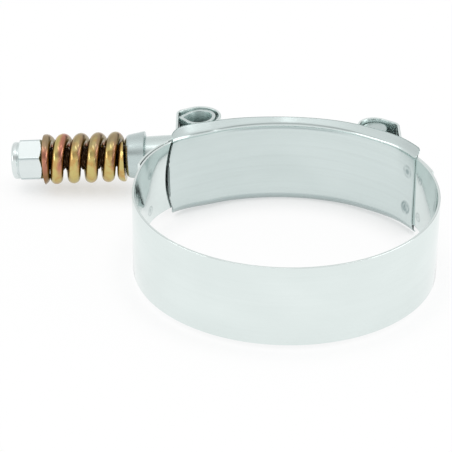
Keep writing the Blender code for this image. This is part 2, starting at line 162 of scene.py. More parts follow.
def rounded_section(half_thick, half_wide, rounding):
    """Closed outline of a strip: a rectangle whose four corners are quarter circles, as (across, up)."""
    corners = []
    for side, end, start in ((1, 1, 0.0), (-1, 1, 90.0), (-1, -1, 180.0), (1, -1, 270.0)):
        angle = np.radians(start + np.array((0.0, 30.0, 60.0, 90.0)))
        corners.append(np.stack([side * (half_thick - rounding) + rounding * np.cos(angle),
                                 end * (half_wide - rounding) + rounding * np.sin(angle)], axis=1))
    return np.concatenate(corners)


def skin(name, grid, finish, closed=False, sharp=40.0):
    """A shell over a grid of points whose rows are closed rings; open ends are capped, faces point out."""
    rows, columns = grid.shape[:2]
    index = np.arange(rows * columns).reshape(rows, columns)
    index = np.hstack([index, index[:, :1]])
    if closed:
        index = np.vstack([index, index[:1]])
    quads = np.stack([index[:-1, :-1], index[1:, :-1], index[1:, 1:], index[:-1, 1:]], axis=-1)
    faces = quads.reshape(-1, 4).tolist()
    if not closed:
        faces += [index[0, :columns].tolist(), index[-1, :columns].tolist()]
    mesh = bpy.data.meshes.new(name)
    mesh.from_pydata(grid.reshape(-1, 3).tolist(), [], faces)
    form = bmesh.new()
    form.from_mesh(mesh)
    bmesh.ops.recalc_face_normals(form, faces=form.faces)
    form.to_mesh(mesh)
    form.free()
    mesh.shade_smooth()
    mesh.set_sharp_from_angle(angle=math.radians(sharp))
    if finish:
        mesh.materials.append(finish)
    piece = bpy.data.objects.new(name, mesh)
    bpy.context.collection.objects.link(piece)
    return piece


def rounded_block(low, high, rounding):
    """A box between two corners of the ring's own frame, its edges rounded, as a cutting tool."""
    form = bmesh.new()
    bmesh.ops.create_cube(form, size=1.0)
    for vert in form.verts:
        vert.co = [ring_centre[k] + (high[k] if vert.co[k] > 0 else low[k]) for k in range(3)]
    bmesh.ops.bevel(form, geom=form.edges, offset=rounding, segments=4, profile=0.5, affect="EDGES")
    mesh = bpy.data.meshes.new("tool")
    form.to_mesh(mesh)
    form.free()
    tool = bpy.data.objects.new("tool", mesh)
    bpy.context.collection.objects.link(tool)
    return tool


def carve(piece, tool, operation, sharp=40.0):
    """Cut or join a piece with a tool, keep the result as its mesh, and remove the tool."""
    step = piece.modifiers.new("carve", "BOOLEAN")
    step.operation = operation
    step.solver = "EXACT"
    step.object = tool
    result = bpy.data.meshes.new_from_object(piece.evaluated_get(bpy.context.evaluated_depsgraph_get()))
    piece.modifiers.clear()
    piece.data = result
    bpy.data.objects.remove(tool, do_unlink=True)
    result.shade_smooth()
    result.set_sharp_from_angle(angle=math.radians(sharp))


def wire(tree, target, source):
    """Join a node's output, or set a plain value, on a target socket."""
    if isinstance(source, bpy.types.NodeSocket):
        tree.links.new(source, target)
    else:
        target.default_value = source


def add(tree, kind, settings=None, **sockets):
    """A shader node with its settings, and sockets named with underscores for spaces."""
    made = tree.nodes.new(kind)
    for key, value in (settings or {}).items():
        setattr(made, key, value)
    for key, value in sockets.items():
        wire(tree, made.inputs[key.replace("_", " ")], value)
    return made


def stretched_noise(tree, scale, detail, **more):
    """Noise on Object coordinates, stretched by one scale for each axis, in features per metre."""
    where = add(tree, "ShaderNodeTexCoord").outputs["Object"]
    mapped = add(tree, "ShaderNodeMapping", Vector=where, Scale=scale).outputs["Vector"]
    return add(tree, "ShaderNodeTexNoise", Vector=mapped, Scale=1.0, Detail=detail, **more).outputs["Fac"]


def reckon(tree, operation, *values):
    """One step of arithmetic on up to three values."""
    step = add(tree, "ShaderNodeMath", {"operation": operation})
    for socket, value in zip(step.inputs, values):
        wire(tree, socket, value)
    return step.outputs["Value"]


def ranged(tree, value, low, high, from_low=0.3, from_high=0.7):
    """A value's usual span stretched to run between two others."""
    made = add(tree, "ShaderNodeMapRange", Value=value)
    for key, number in (("From Min", from_low), ("From Max", from_high), ("To Min", low), ("To Max", high)):
        made.inputs[key].default_value = number
    return made.outputs["Result"]


def mixed(tree, blend, fac, first, second):
    """The first colour taken toward the second, or multiplied by it, as far as a factor says."""
    made = add(tree, "ShaderNodeMix", {"data_type": "RGBA", "blend_type": blend})
    wire(tree, made.inputs[0], fac)
    for socket, colour in ((made.inputs[6], first), (made.inputs[7], second)):
        wire(tree, socket, colour if isinstance(colour, bpy.types.NodeSocket) else (*colour, 1.0))
    return made.outputs[2]


def curved(tree, value, knots):
    """A value between 0 and 1 carried through a smooth curve of (place, height) knots."""
    made = add(tree, "ShaderNodeFloatCurve", Value=value)
    curve = made.mapping.curves[0]
    for place, height in knots[1:-1]:
        curve.points.new(place, height)
    curve.points[0].location = knots[0]
    curve.points[-1].location = knots[-1]
    made.mapping.update()
    return made.outputs["Value"]


def weld_marks(tree, points, radius):
    """Spot welds on a surface: a soft pressed spot with a faint rim round each point, by distance."""
    where = add(tree, "ShaderNodeTexCoord").outputs["Object"]
    dished = ((0.0, 1.0), (0.3, 0.75), (0.55, 0.25), (0.75, 0.5), (0.88, 0.2), (1.0, 0.0))
    total = 0.0
    for point in points:
        far = add(tree, "ShaderNodeVectorMath", {"operation": "DISTANCE"})
        wire(tree, far.inputs[0], where)
        wire(tree, far.inputs[1], point)
        spot = curved(tree, ranged(tree, far.outputs["Value"], 0, 1, 0, radius), dished)
        total = reckon(tree, "ADD", total, spot)
    return total


def mark(piece, name, values):
    """A number for each point of a piece, which its material reads by its name."""
    layer = piece.data.attributes.new(name, "FLOAT", "POINT")
    layer.data.foreach_set("value", np.asarray(values, dtype=np.float32).ravel())


def bright_steel(name, light, deep, smoothness, roughness, welds=(), weld_radius=1.5 * MM, fine=7000.0,
                 streak=0.97, bend_wear_and_painted_shade=False):
    """Bright steel: two near tints in soft patches, broad faint streaks, and fine lines along the strip.

    Where the point attribute named like the last argument is set, the steel is rougher and its colour is
    multiplied toward that argument's colour: bend roughening on the band's loops, and painted shade along
    the plate's bends, on the nut's edges and on the thread inside the spring.
    """
    made = bpy.data.materials.new(name)
    made.use_nodes = True
    tree = made.node_tree
    shader = tree.nodes["Principled BSDF"]
    patches = stretched_noise(tree, (55.0, 55.0, 90.0), 2.0, Roughness=0.45)
    lines = stretched_noise(tree, (70.0, 70.0, fine), 3.0, Roughness=0.6)
    streaks = stretched_noise(tree, (14.0, 14.0, 1100.0), 3.0, Roughness=0.7)
    tint = mixed(tree, "MIX", ranged(tree, patches, 0.0, 1.0, 0.35, 0.65), light, deep)
    streaked = ranged(tree, streaks, 0.0, 1.0, 0.4, 0.7)
    tint = mixed(tree, "MULTIPLY", streaked, tint, (streak, streak, streak))
    if welds:
        marks = weld_marks(tree, welds, weld_radius)
        blotch = ranged(tree, stretched_noise(tree, (700.0, 700.0, 700.0), 2.0), 0.35, 1.0, 0.35, 0.55)
        tint = mixed(tree, "MULTIPLY", reckon(tree, "MULTIPLY", marks, blotch), tint, pressed_shade)
    gloss = ranged(tree, lines, smoothness, roughness)
    if bend_wear_and_painted_shade:
        # Painted shade on the plate, the nut and the thread, and bend roughening on the band's loops, come
        # in here as a darker, rougher tint.
        bend_or_shade = add(tree, "ShaderNodeAttribute", {"attribute_name": "bend_wear_and_painted_shade"}).outputs["Fac"]
        tint = mixed(tree, "MULTIPLY", bend_or_shade, tint, bend_wear_and_painted_shade)
        gloss = reckon(tree, "MULTIPLY_ADD", bend_or_shade, bent_roughness, gloss)
    wire(tree, shader.inputs["Base Color"], tint)
    wire(tree, shader.inputs["Roughness"], gloss)
    shader.inputs["Metallic"].default_value = 1.0
    bump = add(tree, "ShaderNodeBump", Height=lines, Strength=0.12, Distance=0.004 * MM)
    normal = bump.outputs["Normal"]
    if welds:
        pressed = add(tree, "ShaderNodeBump", Height=marks, Strength=0.35, Distance=0.04 * MM,
                      Normal=normal)
        normal = pressed.outputs["Normal"]
    wire(tree, shader.inputs["Normal"], normal)
    return made


def on_ring(from_back, up, radius):
    """A point on the ring at an angle from the back, in degrees, a height and a radius."""
    angle = math.radians(from_back)
    return tuple(ring_centre + np.array((radius * math.sin(angle), radius * math.cos(angle), up)))


tail_welds = [on_ring(side * weld_from_back, end * weld_height, weld_reach)
              for side in (-1, 1) for end in (-1, 1)]
bright_strip = bright_steel("bright_strip", (0.785, 0.855, 0.84), (0.755, 0.825, 0.81), 0.05, 0.09,
                            tail_welds, streak=0.985, bend_wear_and_painted_shade=(0.97, 0.98, 0.98))

right_half = half_path(**right_loop)
left_half = half_path(**left_loop)[::-1] * np.array((-1, 1, 1, 1, 1))
strip_path = even(np.concatenate([left_half, right_half[1:]]), station_step)
strip_normal = normals_of(strip_path[:, :2])
section = rounded_section(strip_thickness / 2, strip_half_width, strip_edge_round)
across, up = section.T
strip_x, strip_y, lean, trim, low_trim = strip_path.T[:, :, None]
height = np.where(up > 0, up - trim, up + np.maximum(trim, low_trim))
band_grid = np.stack([
    ring_centre[0] + strip_x + strip_normal[:, 0:1] * across - height * np.tan(lean),
    ring_centre[1] + strip_y + strip_normal[:, 1:2] * across,
    ring_centre[2] + height,
], axis=-1)
band = skin("band_strip", band_grid, bright_strip)
mark(band, "bend_wear_and_painted_shade", np.repeat(smooth(lean / loop_lean), len(section)))
carve(band, rounded_block(*bolt_slot, slot_round), "DIFFERENCE")
carve(band, rounded_block(*neck_slot, slot_round), "DIFFERENCE")
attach(band, "band")
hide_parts("band")

# Bridge plate. Thin stainless plate that closes the ring behind the gap between the loops. Both
# long edges are flared outward over the band's edges. It is spot-welded to the band at its right
# end, and its left end is free to slide inside the band as the clamp closes.
plate_thickness = 0.32 * MM
plate_gap = 0.5 * MM
plate_gap_at_ends = 0.12 * MM
plate_bend = 1.4 * MM
plate_free_lip = 2.1 * MM
plate_welded_lip = 1.95 * MM
plate_middle_lip = 1.4 * MM
plate_free_rise = 0.5 * MM
plate_welded_rise = 0.4 * MM
plate_low_middle = 0.35 * MM
plate_crease = 9.6 * MM
plate_corner = 1.6 * MM
plate_free_taper = 4.2 * MM
plate_free_end = math.radians(53.0)
plate_welded_end = math.radians(60.5)
plate_free_bow = 1.9 * MM
plate_swell_start = math.radians(33.0)
plate_swell_end = math.radians(52.0)
plate_weld_reach = 34.9 * MM
# Painted shade and painted reflection: the plate is darkened along its lower bend, where it mirrors the
# shadowed floor, and in a line just under its upper bend over the middle, where it mirrors the band's
# inside.
low_crease_shade = 0.6
under_bend_shade_depth = 0.8
under_bend_shade_end = math.radians(30.0)
under_bend_shade_fade = math.radians(15.0)
flare = math.radians(45.0)
plate_flat = plate_crease - plate_bend * math.tan(flare / 2)


def plate_outline(lip):
    """Closed outline of the flared plate as (out, up): flat, a bend of the flare angle, a straight lip.

    The middle line is offset by half the thickness to each side, and the lips' edges are rounded.
    """
    angle = np.linspace(math.pi, math.pi - flare, 9)
    bend = plate_bend * np.stack([1 + np.cos(angle), np.sin(angle)], axis=1) + (0.0, plate_flat)
    heading = np.array((math.sin(flare), math.cos(flare)))
    lip_line = bend[-1] + heading * np.linspace(0.0, lip, 6)[1:, None]
    ups = np.concatenate([np.linspace(0.0, 0.85, 6), (0.89, 0.92, 0.94, 0.96, 0.98)]) * plate_flat
    upper = np.concatenate([np.stack([np.zeros(len(ups)), ups], axis=1), bend, lip_line])
    middle = np.concatenate([(upper * (1, -1))[:0:-1], upper])
    normal = normals_of(middle)
    half = plate_thickness / 2
    left, right = middle + normal * half, middle - normal * half
    tip = (middle[-1] - middle[-2]) / np.linalg.norm(middle[-1] - middle[-2])
    turn = np.radians(np.array((-50.0, 0.0, 50.0)))[:, None]
    top_edge = middle[-1] + half * (np.cos(turn) * tip - np.sin(turn) * normal[-1])[::-1]
    low_edge = top_edge * (1, -1)
    return np.concatenate([left, top_edge, right[::-1], low_edge[::-1]])


def plate_rows(angles):
    """The outline at each angle from the back. The ends stand higher, and the lower half hangs a little
    in the middle. The lips change width and are rounded off at both ends, and toward the free end each
    point stands back by its height squared."""
    free = (plate_free_end, plate_free_taper, plate_free_lip, left_swell, plate_free_rise)
    welded = (plate_welded_end, plate_corner, plate_welded_lip, right_swell, plate_welded_rise)
    rows = []
    for angle in angles:
        end, taper, end_lip, spread, end_rise = free if angle < 0 else welded
        near = min(max((end - abs(angle)) * ring_radius / taper, 0.0), 1.0)
        drop = plate_corner * (1 - math.sqrt(1 - (1 - near) ** 2))
        change = smooth(abs(angle) / plate_swell_end)
        lip = plate_middle_lip + (end_lip - plate_middle_lip) * change - drop
        out, up = plate_outline(lip).T
        follow = smooth((abs(angle) - plate_swell_start) / (plate_swell_end - plate_swell_start))
        gap = plate_gap + (plate_gap_at_ends - plate_gap) * follow
        base = ring_radius - strip_thickness - gap - plate_thickness / 2
        reach = base + follow * swell(abs(angle), spread) + out
        toward_end = smooth(abs(angle) / plate_free_end)
        rise = end_rise * toward_end - plate_low_middle * (1 - toward_end) * np.clip(-up / plate_flat, 0, 1)
        bow = plate_free_bow * smooth(-angle / plate_free_end)
        turned = angle + bow * (up / plate_flat) ** 2 / ring_radius
        rows.append(np.stack([reach * np.sin(turned), reach * np.cos(turned), up + rise], axis=1)
                    + ring_centre)
    return np.array(rows)


plate_welds = [on_ring(angle, up * MM, plate_weld_reach)
               for angle, up in ((56.2, 5.2), (56.3, -4.4), (55.9, -4.9))]
# The plate's last colour is that of the painted shade along its bends.
plate_steel = bright_steel("plate_steel", (0.665, 0.745, 0.735), (0.63, 0.71, 0.70), 0.14, 0.24,
                           plate_welds, weld_radius=1.9 * MM, bend_wear_and_painted_shade=(0.64, 0.68, 0.69))
corner_angle = plate_corner / ring_radius
ease = corner_angle * (1 - np.cos(np.linspace(0, math.pi / 2, 8)))
plate_angles = np.concatenate([
    -plate_free_end + ease,
    np.arange(-plate_free_end + corner_angle, plate_welded_end - corner_angle, math.radians(0.6))[1:],
    plate_welded_end - ease[::-1],
])
plate = skin("bridge_plate_flared", plate_rows(plate_angles), plate_steel)
# Where the plate takes that painted shade: its lower bend and lip, and a line under the upper bend that
# fades out toward the ends.
from_middle = plate_outline(plate_middle_lip)[:, 1]
low_crease = low_crease_shade * smooth((-from_middle - plate_flat + 0.2 * MM) / (0.6 * MM))
under_bend_shade = under_bend_shade_depth * smooth(1 - np.abs(from_middle - plate_flat + 0.15 * MM) / (0.45 * MM))
in_middle = smooth((under_bend_shade_end - np.abs(plate_angles)) / under_bend_shade_fade)
mark(plate, "bend_wear_and_painted_shade", low_crease + in_middle[:, None] * under_bend_shade)
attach(plate, "band")
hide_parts("bridge_plate")

# T-bolt. An M6 stainless bolt, its thread rolled on, with a barrel head forged across its end.
# The barrel lies in the right loop, and the shank runs through the gap to the nut on the left.
thread_pitch = 1.0 * MM
thread_crest = 2.97 * MM
thread_depth = 0.58 * MM
thread_start = -58.275 * MM
thread_end = -22.275 * MM
thread_turns = 36
thread_point = 2.35 * MM
# Painted shade and painted reflection: from about the nut's face toward the head, the thread's colour is
# taken toward brown, for the shade between the spring's turns and the spring mirrored in it.
in_spring_shade_starts = -52.5 * MM
in_spring_shade_fade = 1.5 * MM
shank_radius = 2.7 * MM
barrel_at = 32.171 * MM
barrel_radius = 3.2 * MM
barrel_half = 5.4 * MM
barrel_round = 0.45 * MM
barrel_middle = 0.5 * MM

along = np.array(joints["nut_travel"]["axis"])
along = along / np.linalg.norm(along)
back = np.array((0.0, 1.0, 0.0))
above = np.cross(along, back)


def on_bolt(a, b, c):
    """Points from arrays of places along the bolt, behind its axis and above it."""
    a, b, c = np.broadcast_arrays(a, b, c)
    return rock + a[..., None] * along + b[..., None] * back + c[..., None] * above


def lathe(profile, steps=96):
    """A profile of (along, radius) spun about the bolt's axis: radius times (cos, sin) at each step."""
    angle = np.linspace(0, 2 * math.pi, steps, endpoint=False)
    a, r = np.array(profile).T
    return on_bolt(a[:, None], r[:, None] * np.cos(angle), r[:, None] * np.sin(angle))


def threaded(places, steps=40):
    """Right-hand thread: the radius falls from the crest by the depth times a blunted triangle wave
    of (along / pitch - turn), and the start is held inside a 45 degree point."""
    turn = np.linspace(0, 1, steps, endpoint=False)
    angle = 2 * math.pi * turn
    phase = (places[:, None] / thread_pitch - turn) % 1.0
    groove = np.clip(1.35 * (1 - np.abs(2 * phase - 1)) - 0.18, 0.0, 1.0)
    runout = smooth((thread_end - places[:, None]) / thread_pitch)
    radius = thread_crest - thread_depth * groove * runout
    radius = np.minimum(radius, thread_point + (places[:, None] - thread_start))
    return on_bolt(places[:, None], radius * np.cos(angle), radius * np.sin(angle))


satin_steel = bright_steel("satin_steel", (0.62, 0.705, 0.69), (0.55, 0.63, 0.62), 0.18, 0.30, fine=2500.0)
tube_steel = bright_steel("tube_steel", (0.68, 0.765, 0.75), (0.62, 0.70, 0.69), 0.20, 0.34, fine=2500.0)
# Darker steel for the thread, whose last colour is that painted shade and painted reflection.
thread_steel_painted_shade = bright_steel("thread_steel_with_painted_shade", (0.56, 0.60, 0.59), (0.34, 0.36, 0.35), 0.14, 0.28,
                           fine=2500.0, bend_wear_and_painted_shade=(0.46, 0.28, 0.17))
thread_places = np.linspace(thread_start, thread_end, thread_turns * 10 + 1)
thread_rows = threaded(thread_places)
shank_rows = lathe([(thread_end + 0.05 * MM, shank_radius), (0.0, shank_radius),
                    (barrel_at - 4.2 * MM, shank_radius), (barrel_at - 3.4 * MM, shank_radius + 0.1 * MM),
                    (barrel_at - 2.6 * MM, shank_radius + 0.45 * MM)], 40)
thread = skin("t_bolt_thread", thread_rows, thread_steel_painted_shade)
in_spring_shade = smooth((thread_places - in_spring_shade_starts) / in_spring_shade_fade)
mark(thread, "bend_wear_and_painted_shade", np.repeat(in_spring_shade, thread_rows.shape[1]))
bolt = skin("t_bolt_shank", shank_rows, satin_steel)
angle = np.linspace(0, 2 * math.pi, 64, endpoint=False)
corner = np.linspace(0, math.pi / 2, 6)
cap_radius = barrel_radius - barrel_round + barrel_round * np.cos(corner)
cap_height = barrel_half - barrel_round + barrel_round * np.sin(corner)
barrel_r = np.concatenate([[barrel_middle], cap_radius[::-1], cap_radius, [barrel_middle]])
barrel_c = np.concatenate([[-barrel_half], -cap_height[::-1], cap_height, [barrel_half]])
barrel = skin("t_bolt_barrel", on_bolt(barrel_at + barrel_r[:, None] * np.cos(angle),
                                       barrel_r[:, None] * np.sin(angle), barrel_c[:, None]), satin_steel)
for piece in (thread, bolt, barrel):
    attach(piece, "bolt")
    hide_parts("t_bolt")

# Trunnion. A stainless tube of teardrop section lies in the left loop, its point to the spring.
# A round neck, made with it, carries the load from the spring's cup, and the bolt slides through.
trunnion_at = -11.225 * MM
tube_radius = 4.1 * MM
tube_tip = 5.15 * MM
tube_wall = 0.95 * MM
tube_half = 10.4 * MM
rim_round = 0.18 * MM
neck_end = -27.125 * MM
neck_radius = 5.0 * MM
neck_root = 3.7 * MM
neck_end_radius = 4.55 * MM
bore_radius = 3.25 * MM
nose_round = 0.5 * MM
nose_turn = math.radians(28.0)


def teardrop(radius, tip, steps=72):
    """A circle drawn out to a blunt point toward -along: the arc up to where lines from the tip touch."""
    touch = math.acos(radius / tip)
    ring = np.linspace(touch - math.pi, math.pi - touch, steps)
    round_part = np.stack([radius * np.cos(ring), radius * np.sin(ring)], axis=1)
    blunt = math.pi + np.linspace(nose_turn, -nose_turn, 5)
    nose = np.stack([nose_round - tip + nose_round * np.cos(blunt), -nose_round * np.sin(blunt)], axis=1)
    return np.concatenate([round_part, nose[::-1] * (1, -1)])


def tube(radius, tip, levels):
    """Teardrop rings at heights across the bolt; each level is (height, how far the outline is inset)."""
    rows = []
    for height, inset in levels:
        a, b = teardrop(radius - inset, tip - inset * tip / radius).T
        rows.append(on_bolt(trunnion_at + a, b, height))
    return np.array(rows)


rim = [(-tube_half, rim_round), (-tube_half + rim_round * 0.3, rim_round * 0.3),
       (-tube_half + rim_round, 0.0)]
levels = rim + [(-height, inset) for height, inset in rim[::-1]]
trunnion = skin("trunnion_tube", tube(tube_radius, tube_tip, levels), tube_steel)
neck = skin("tool", lathe([
    (neck_end, neck_end_radius - 0.25 * MM), (neck_end + 0.07 * MM, neck_end_radius - 0.07 * MM),
    (neck_end + 0.25 * MM, neck_end_radius), (neck_end + 1.8 * MM, neck_radius - 0.2 * MM),
    (trunnion_at - 5.65 * MM, neck_radius), (trunnion_at - 4.15 * MM, neck_radius),
    (trunnion_at - 3.3 * MM, neck_radius - 0.2 * MM), (trunnion_at, neck_root)]), None)
carve(trunnion, neck, "UNION")
hollow_radius = tube_radius - tube_wall
hollow_tip = tube_tip - tube_wall * tube_tip / tube_radius
mouth = [(-tube_half - 0.5 * MM, -rim_round), (-tube_half, -rim_round),
         (-tube_half + rim_round * 0.3, -rim_round * 0.3), (-tube_half + rim_round, 0.0)]
hollow = skin("tool", tube(hollow_radius, hollow_tip, mouth + [(-h, i) for h, i in mouth[::-1]]), None)
carve(trunnion, hollow, "DIFFERENCE")
bore = skin("tool", lathe([(neck_end - 1 * MM, bore_radius), (trunnion_at + 8 * MM, bore_radius)]), None)
carve(trunnion, bore, "DIFFERENCE")
trunnion.data.materials.clear()
trunnion.data.materials.append(tube_steel)
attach(trunnion, "bolt")
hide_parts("trunnion")

# Spring cup. Drawn from sheet steel: closed toward the spring but for the bolt's hole, and
# widening to a cut mouth round the neck. The spring stands on its closed end.
cup_seat = -30.275 * MM
cup_length = 4.95 * MM
cup_end_radius = 5.5 * MM
cup_mouth_radius = 6.15 * MM
cup_wall = 0.9 * MM
cup_corner = 1.3 * MM
cup_edge = 0.12 * MM


def cup_profile():
    """Closed profile: hole edge, flat end, rounded corner, cone to the mouth, and the same inside."""
    quarter = np.linspace(math.pi, math.pi / 2, 9)
    outer, inner = [[(cup_corner + turn * math.cos(t), cup_end_radius - cup_corner + turn * math.sin(t))
                     for t in quarter] for turn in (cup_corner, cup_corner - cup_wall)]
    inside = cup_mouth_radius - cup_wall
    mouth = [(cup_length - cup_edge, cup_mouth_radius), (cup_length, cup_mouth_radius - cup_edge),
             (cup_length, inside + cup_edge), (cup_length - cup_edge, inside)]
    hole = [(cup_wall, bore_radius), (0.0, bore_radius)]
    return [(cup_seat + a, r) for a, r in outer + mouth + inner[::-1] + hole]


cup_steel = bright_steel("cup_steel", (0.60, 0.685, 0.68), (0.52, 0.60, 0.595), 0.22, 0.34, fine=1500.0)
cup = skin("spring_cup_drawn", lathe(cup_profile(), 128), cup_steel, closed=True, sharp=50.0)
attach(cup, "bolt")
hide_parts("spring_cup")

# Spring. Left-hand coil of 3 mm steel wire, its end turns closed and ground flat. Yellow chromate
# over zinc gives it gold, with rose, copper and orange where the film is thicker. The olive at the
# wire's sides, taupe on top of each turn and brown low on the first turn are painted shade and painted
# reflection, and the rose on each turn's upper right shoulder is a painted sheen.
spring_right = -30.475 * MM
spring_length = 20.4 * MM
spring_outer = 6.35 * MM
wire_radius = 1.64 * MM
coil_rise = ((0.0, -0.8), (0.25, 0.05), (0.55, 0.45), (1.0, 2.45), (1.5, 4.6), (4.5, 17.75), (5.0, 19.75),
             (5.2, 20.1), (5.43, 21.0))
rise_blur = 25
spring_clocking = math.radians(-2.0)
spring_left = spring_right - spring_length
# Gold, orange and the rose toward the nut are the film's colours; taupe, olive, brown and the shoulder's
# rose are painted reflection, painted shade and painted sheen.
gold = (0.60, 0.495, 0.19)
orange = (0.58, 0.37, 0.13)
taupe = (0.36, 0.29, 0.17)
rose = (0.50, 0.21, 0.14)
olive = (0.20, 0.15, 0.035)
brown = (0.24, 0.12, 0.055)


def coil(steps_per_turn=96, sides=28):
    """Wire round a left-hand helix: centre = rise(turn) along the axis + mid radius * (sin, cos), the
    ring of each station square to the wire, and both ends pressed onto the planes they are ground to.
    The rise comes from coil_rise, which pairs turns with millimetres, with its corners blurred."""
    total = coil_rise[-1][0]
    turn = np.linspace(0.0, total, int(total * steps_per_turn) + 1)
    rise = np.interp(turn, *np.array(coil_rise).T) * MM
    blur = np.hanning(rise_blur) / np.hanning(rise_blur).sum()
    rise = np.convolve(np.pad(rise, rise_blur // 2, "reflect", reflect_type="odd"), blur, "valid")
    angle = spring_clocking + 2 * math.pi * turn
    middle = spring_outer - wire_radius
    out = np.stack([np.zeros_like(turn), -np.sin(angle), -np.cos(angle)], axis=1)
    centre = np.stack([rise, middle * out[:, 1], middle * out[:, 2]], axis=1)
    tangent = np.gradient(centre, axis=0)
    tangent /= np.linalg.norm(tangent, axis=1, keepdims=True)
    side = np.cross(tangent, out)
    around = np.linspace(0, 2 * math.pi, sides, endpoint=False)
    ring = (np.cos(around)[None, :, None] * out[:, None, :]
            + np.sin(around)[None, :, None] * side[:, None, :])
    points = centre[:, None, :] + wire_radius * ring
    points[..., 0] = np.clip(points[..., 0], 0.0, spring_length)
    return turn, around, on_bolt(spring_left + points[..., 0], points[..., 1], points[..., 2])


def film_and_shade_places(turn, around):
    """Three numbers for each point of the wire: how high it lies in its turn, how far it faces along the
    bolt toward the T-head, and how near it is to the nut over the first two turns."""
    height = -np.cos(spring_clocking + 2 * math.pi * turn)
    near_nut = 0.55 * smooth((2.0 - turn) / 0.4) + 0.45 * smooth((0.8 - turn) / 0.2)
    return {"crown": np.repeat(height, len(around)),
            "shoulder": np.tile(np.sin(around), len(turn)),
            "nut_end": np.repeat(near_nut, len(around))}


def chromate(name):
    """Yellow chromate on steel: gold below, with orange patches where the film is thicker and rose toward
    the
    nut. Painted on top: taupe at the top of each turn as painted reflection, rose on the upper right
    shoulder as painted sheen, olive where the wire turns away as painted shade between the turns, and brown
    low on the first turn as painted shade."""
    made = bpy.data.materials.new(name)
    made.use_nodes = True
    tree = made.node_tree
    shader = tree.nodes["Principled BSDF"]
    where = add(tree, "ShaderNodeTexCoord").outputs["Object"]
    crown, shoulder, nut_end = [add(tree, "ShaderNodeAttribute", {"attribute_name": key}).outputs["Fac"]
                                for key in ("crown", "shoulder", "nut_end")]
    drift = add(tree, "ShaderNodeTexNoise", Vector=where, Scale=260.0, Detail=2.5, Roughness=0.5)
    patch = add(tree, "ShaderNodeTexNoise", Vector=where, Scale=430.0, Detail=2.0, Distortion=0.8)
    patch = patch.outputs["Fac"]
    drifted = reckon(tree, "MULTIPLY_ADD", drift.outputs["Fac"], 0.8, -0.4)
    colour = mixed(tree, "MIX", ranged(tree, patch, 0.0, 1.0, 0.45, 0.63), gold, orange)
    # Rose: film colour toward the nut, and a painted sheen on the upper right shoulder of each turn, both
    # kept to the upper, lit side.
    rosy = reckon(tree, "ADD", shoulder, reckon(tree, "MULTIPLY_ADD", nut_end, 0.6, drifted))
    rosy = ranged(tree, rosy, 0.0, 1.0, 0.2, 0.65)
    lit = ranged(tree, reckon(tree, "MULTIPLY_ADD", nut_end, 0.35, crown), 0.0, 1.0, -0.3, 0.3)
    colour = mixed(tree, "MIX", reckon(tree, "MULTIPLY", rosy, lit), colour, rose)
    # Painted reflection: taupe on the top of each turn, where the wire mirrors a darker wall behind, held
    # back a little toward the nut.
    beside = reckon(tree, "MULTIPLY", nut_end, reckon(tree, "MULTIPLY_ADD", nut_end, 2.4, -2.4))
    high = reckon(tree, "ADD", beside, reckon(tree, "ADD", crown, drifted))
    colour = mixed(tree, "MIX", ranged(tree, high, 0.0, 0.9, 0.66, 1.04), colour, taupe)
    # Painted shade: brown on the lower half of the first turn, next to the nut.
    first_turn = ranged(tree, nut_end, 0.0, 0.8, 0.6, 1.0)
    low_down = ranged(tree, crown, 1.0, 0.0, -0.3, 0.25)
    colour = mixed(tree, "MIX", reckon(tree, "MULTIPLY", first_turn, low_down), colour, brown)
    # Painted shade: olive on the wire's sides that face the next turns, in the shade between the coils.
    turned_away = ranged(tree, reckon(tree, "ABSOLUTE", shoulder), 0.0, 0.9, 0.6, 0.98)
    colour = mixed(tree, "MIX", turned_away, colour, olive)
    wire(tree, shader.inputs["Base Color"], colour)
    shader.inputs["Metallic"].default_value = 1.0
    wire(tree, shader.inputs["Roughness"], ranged(tree, patch, 0.13, 0.24))
    grain = add(tree, "ShaderNodeTexNoise", Vector=where, Scale=2600.0, Detail=2.0).outputs["Fac"]
    bump = add(tree, "ShaderNodeBump", Height=grain, Strength=0.1, Distance=0.01 * MM)
    wire(tree, shader.inputs["Normal"], bump.outputs["Normal"])
    return made


turn, around, spring_grid = coil()
spring = skin("coil_spring", spring_grid, chromate("yellow_chromate_with_painted_shade"))
for key, numbers in film_and_shade_places(turn, around).items():
    mark(spring, key, numbers)
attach(spring, "spring")
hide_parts("spring")
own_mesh(spring)

# Lock nut. M6, cold-formed and plated with bright zinc: a hexagon chamfered at both ends, and a
# round collar crimped over a ring of natural nylon, which grips the thread.
nut_face = -51.075 * MM
nut_flat = 4.9 * MM
hex_height = 6.0 * MM
nut_height = 7.8 * MM
collar_radius = 4.67 * MM
collar_round = 0.75 * MM
collar_neck = 0.16 * MM
low_chamfer = 4.55 * MM
high_chamfer = 4.75 * MM
corner_held = math.radians(28.5)
nylon_radius = 4.1 * MM
nylon_low = 5.0 * MM
nylon_high = 7.2 * MM
lip_radius = 3.5 * MM


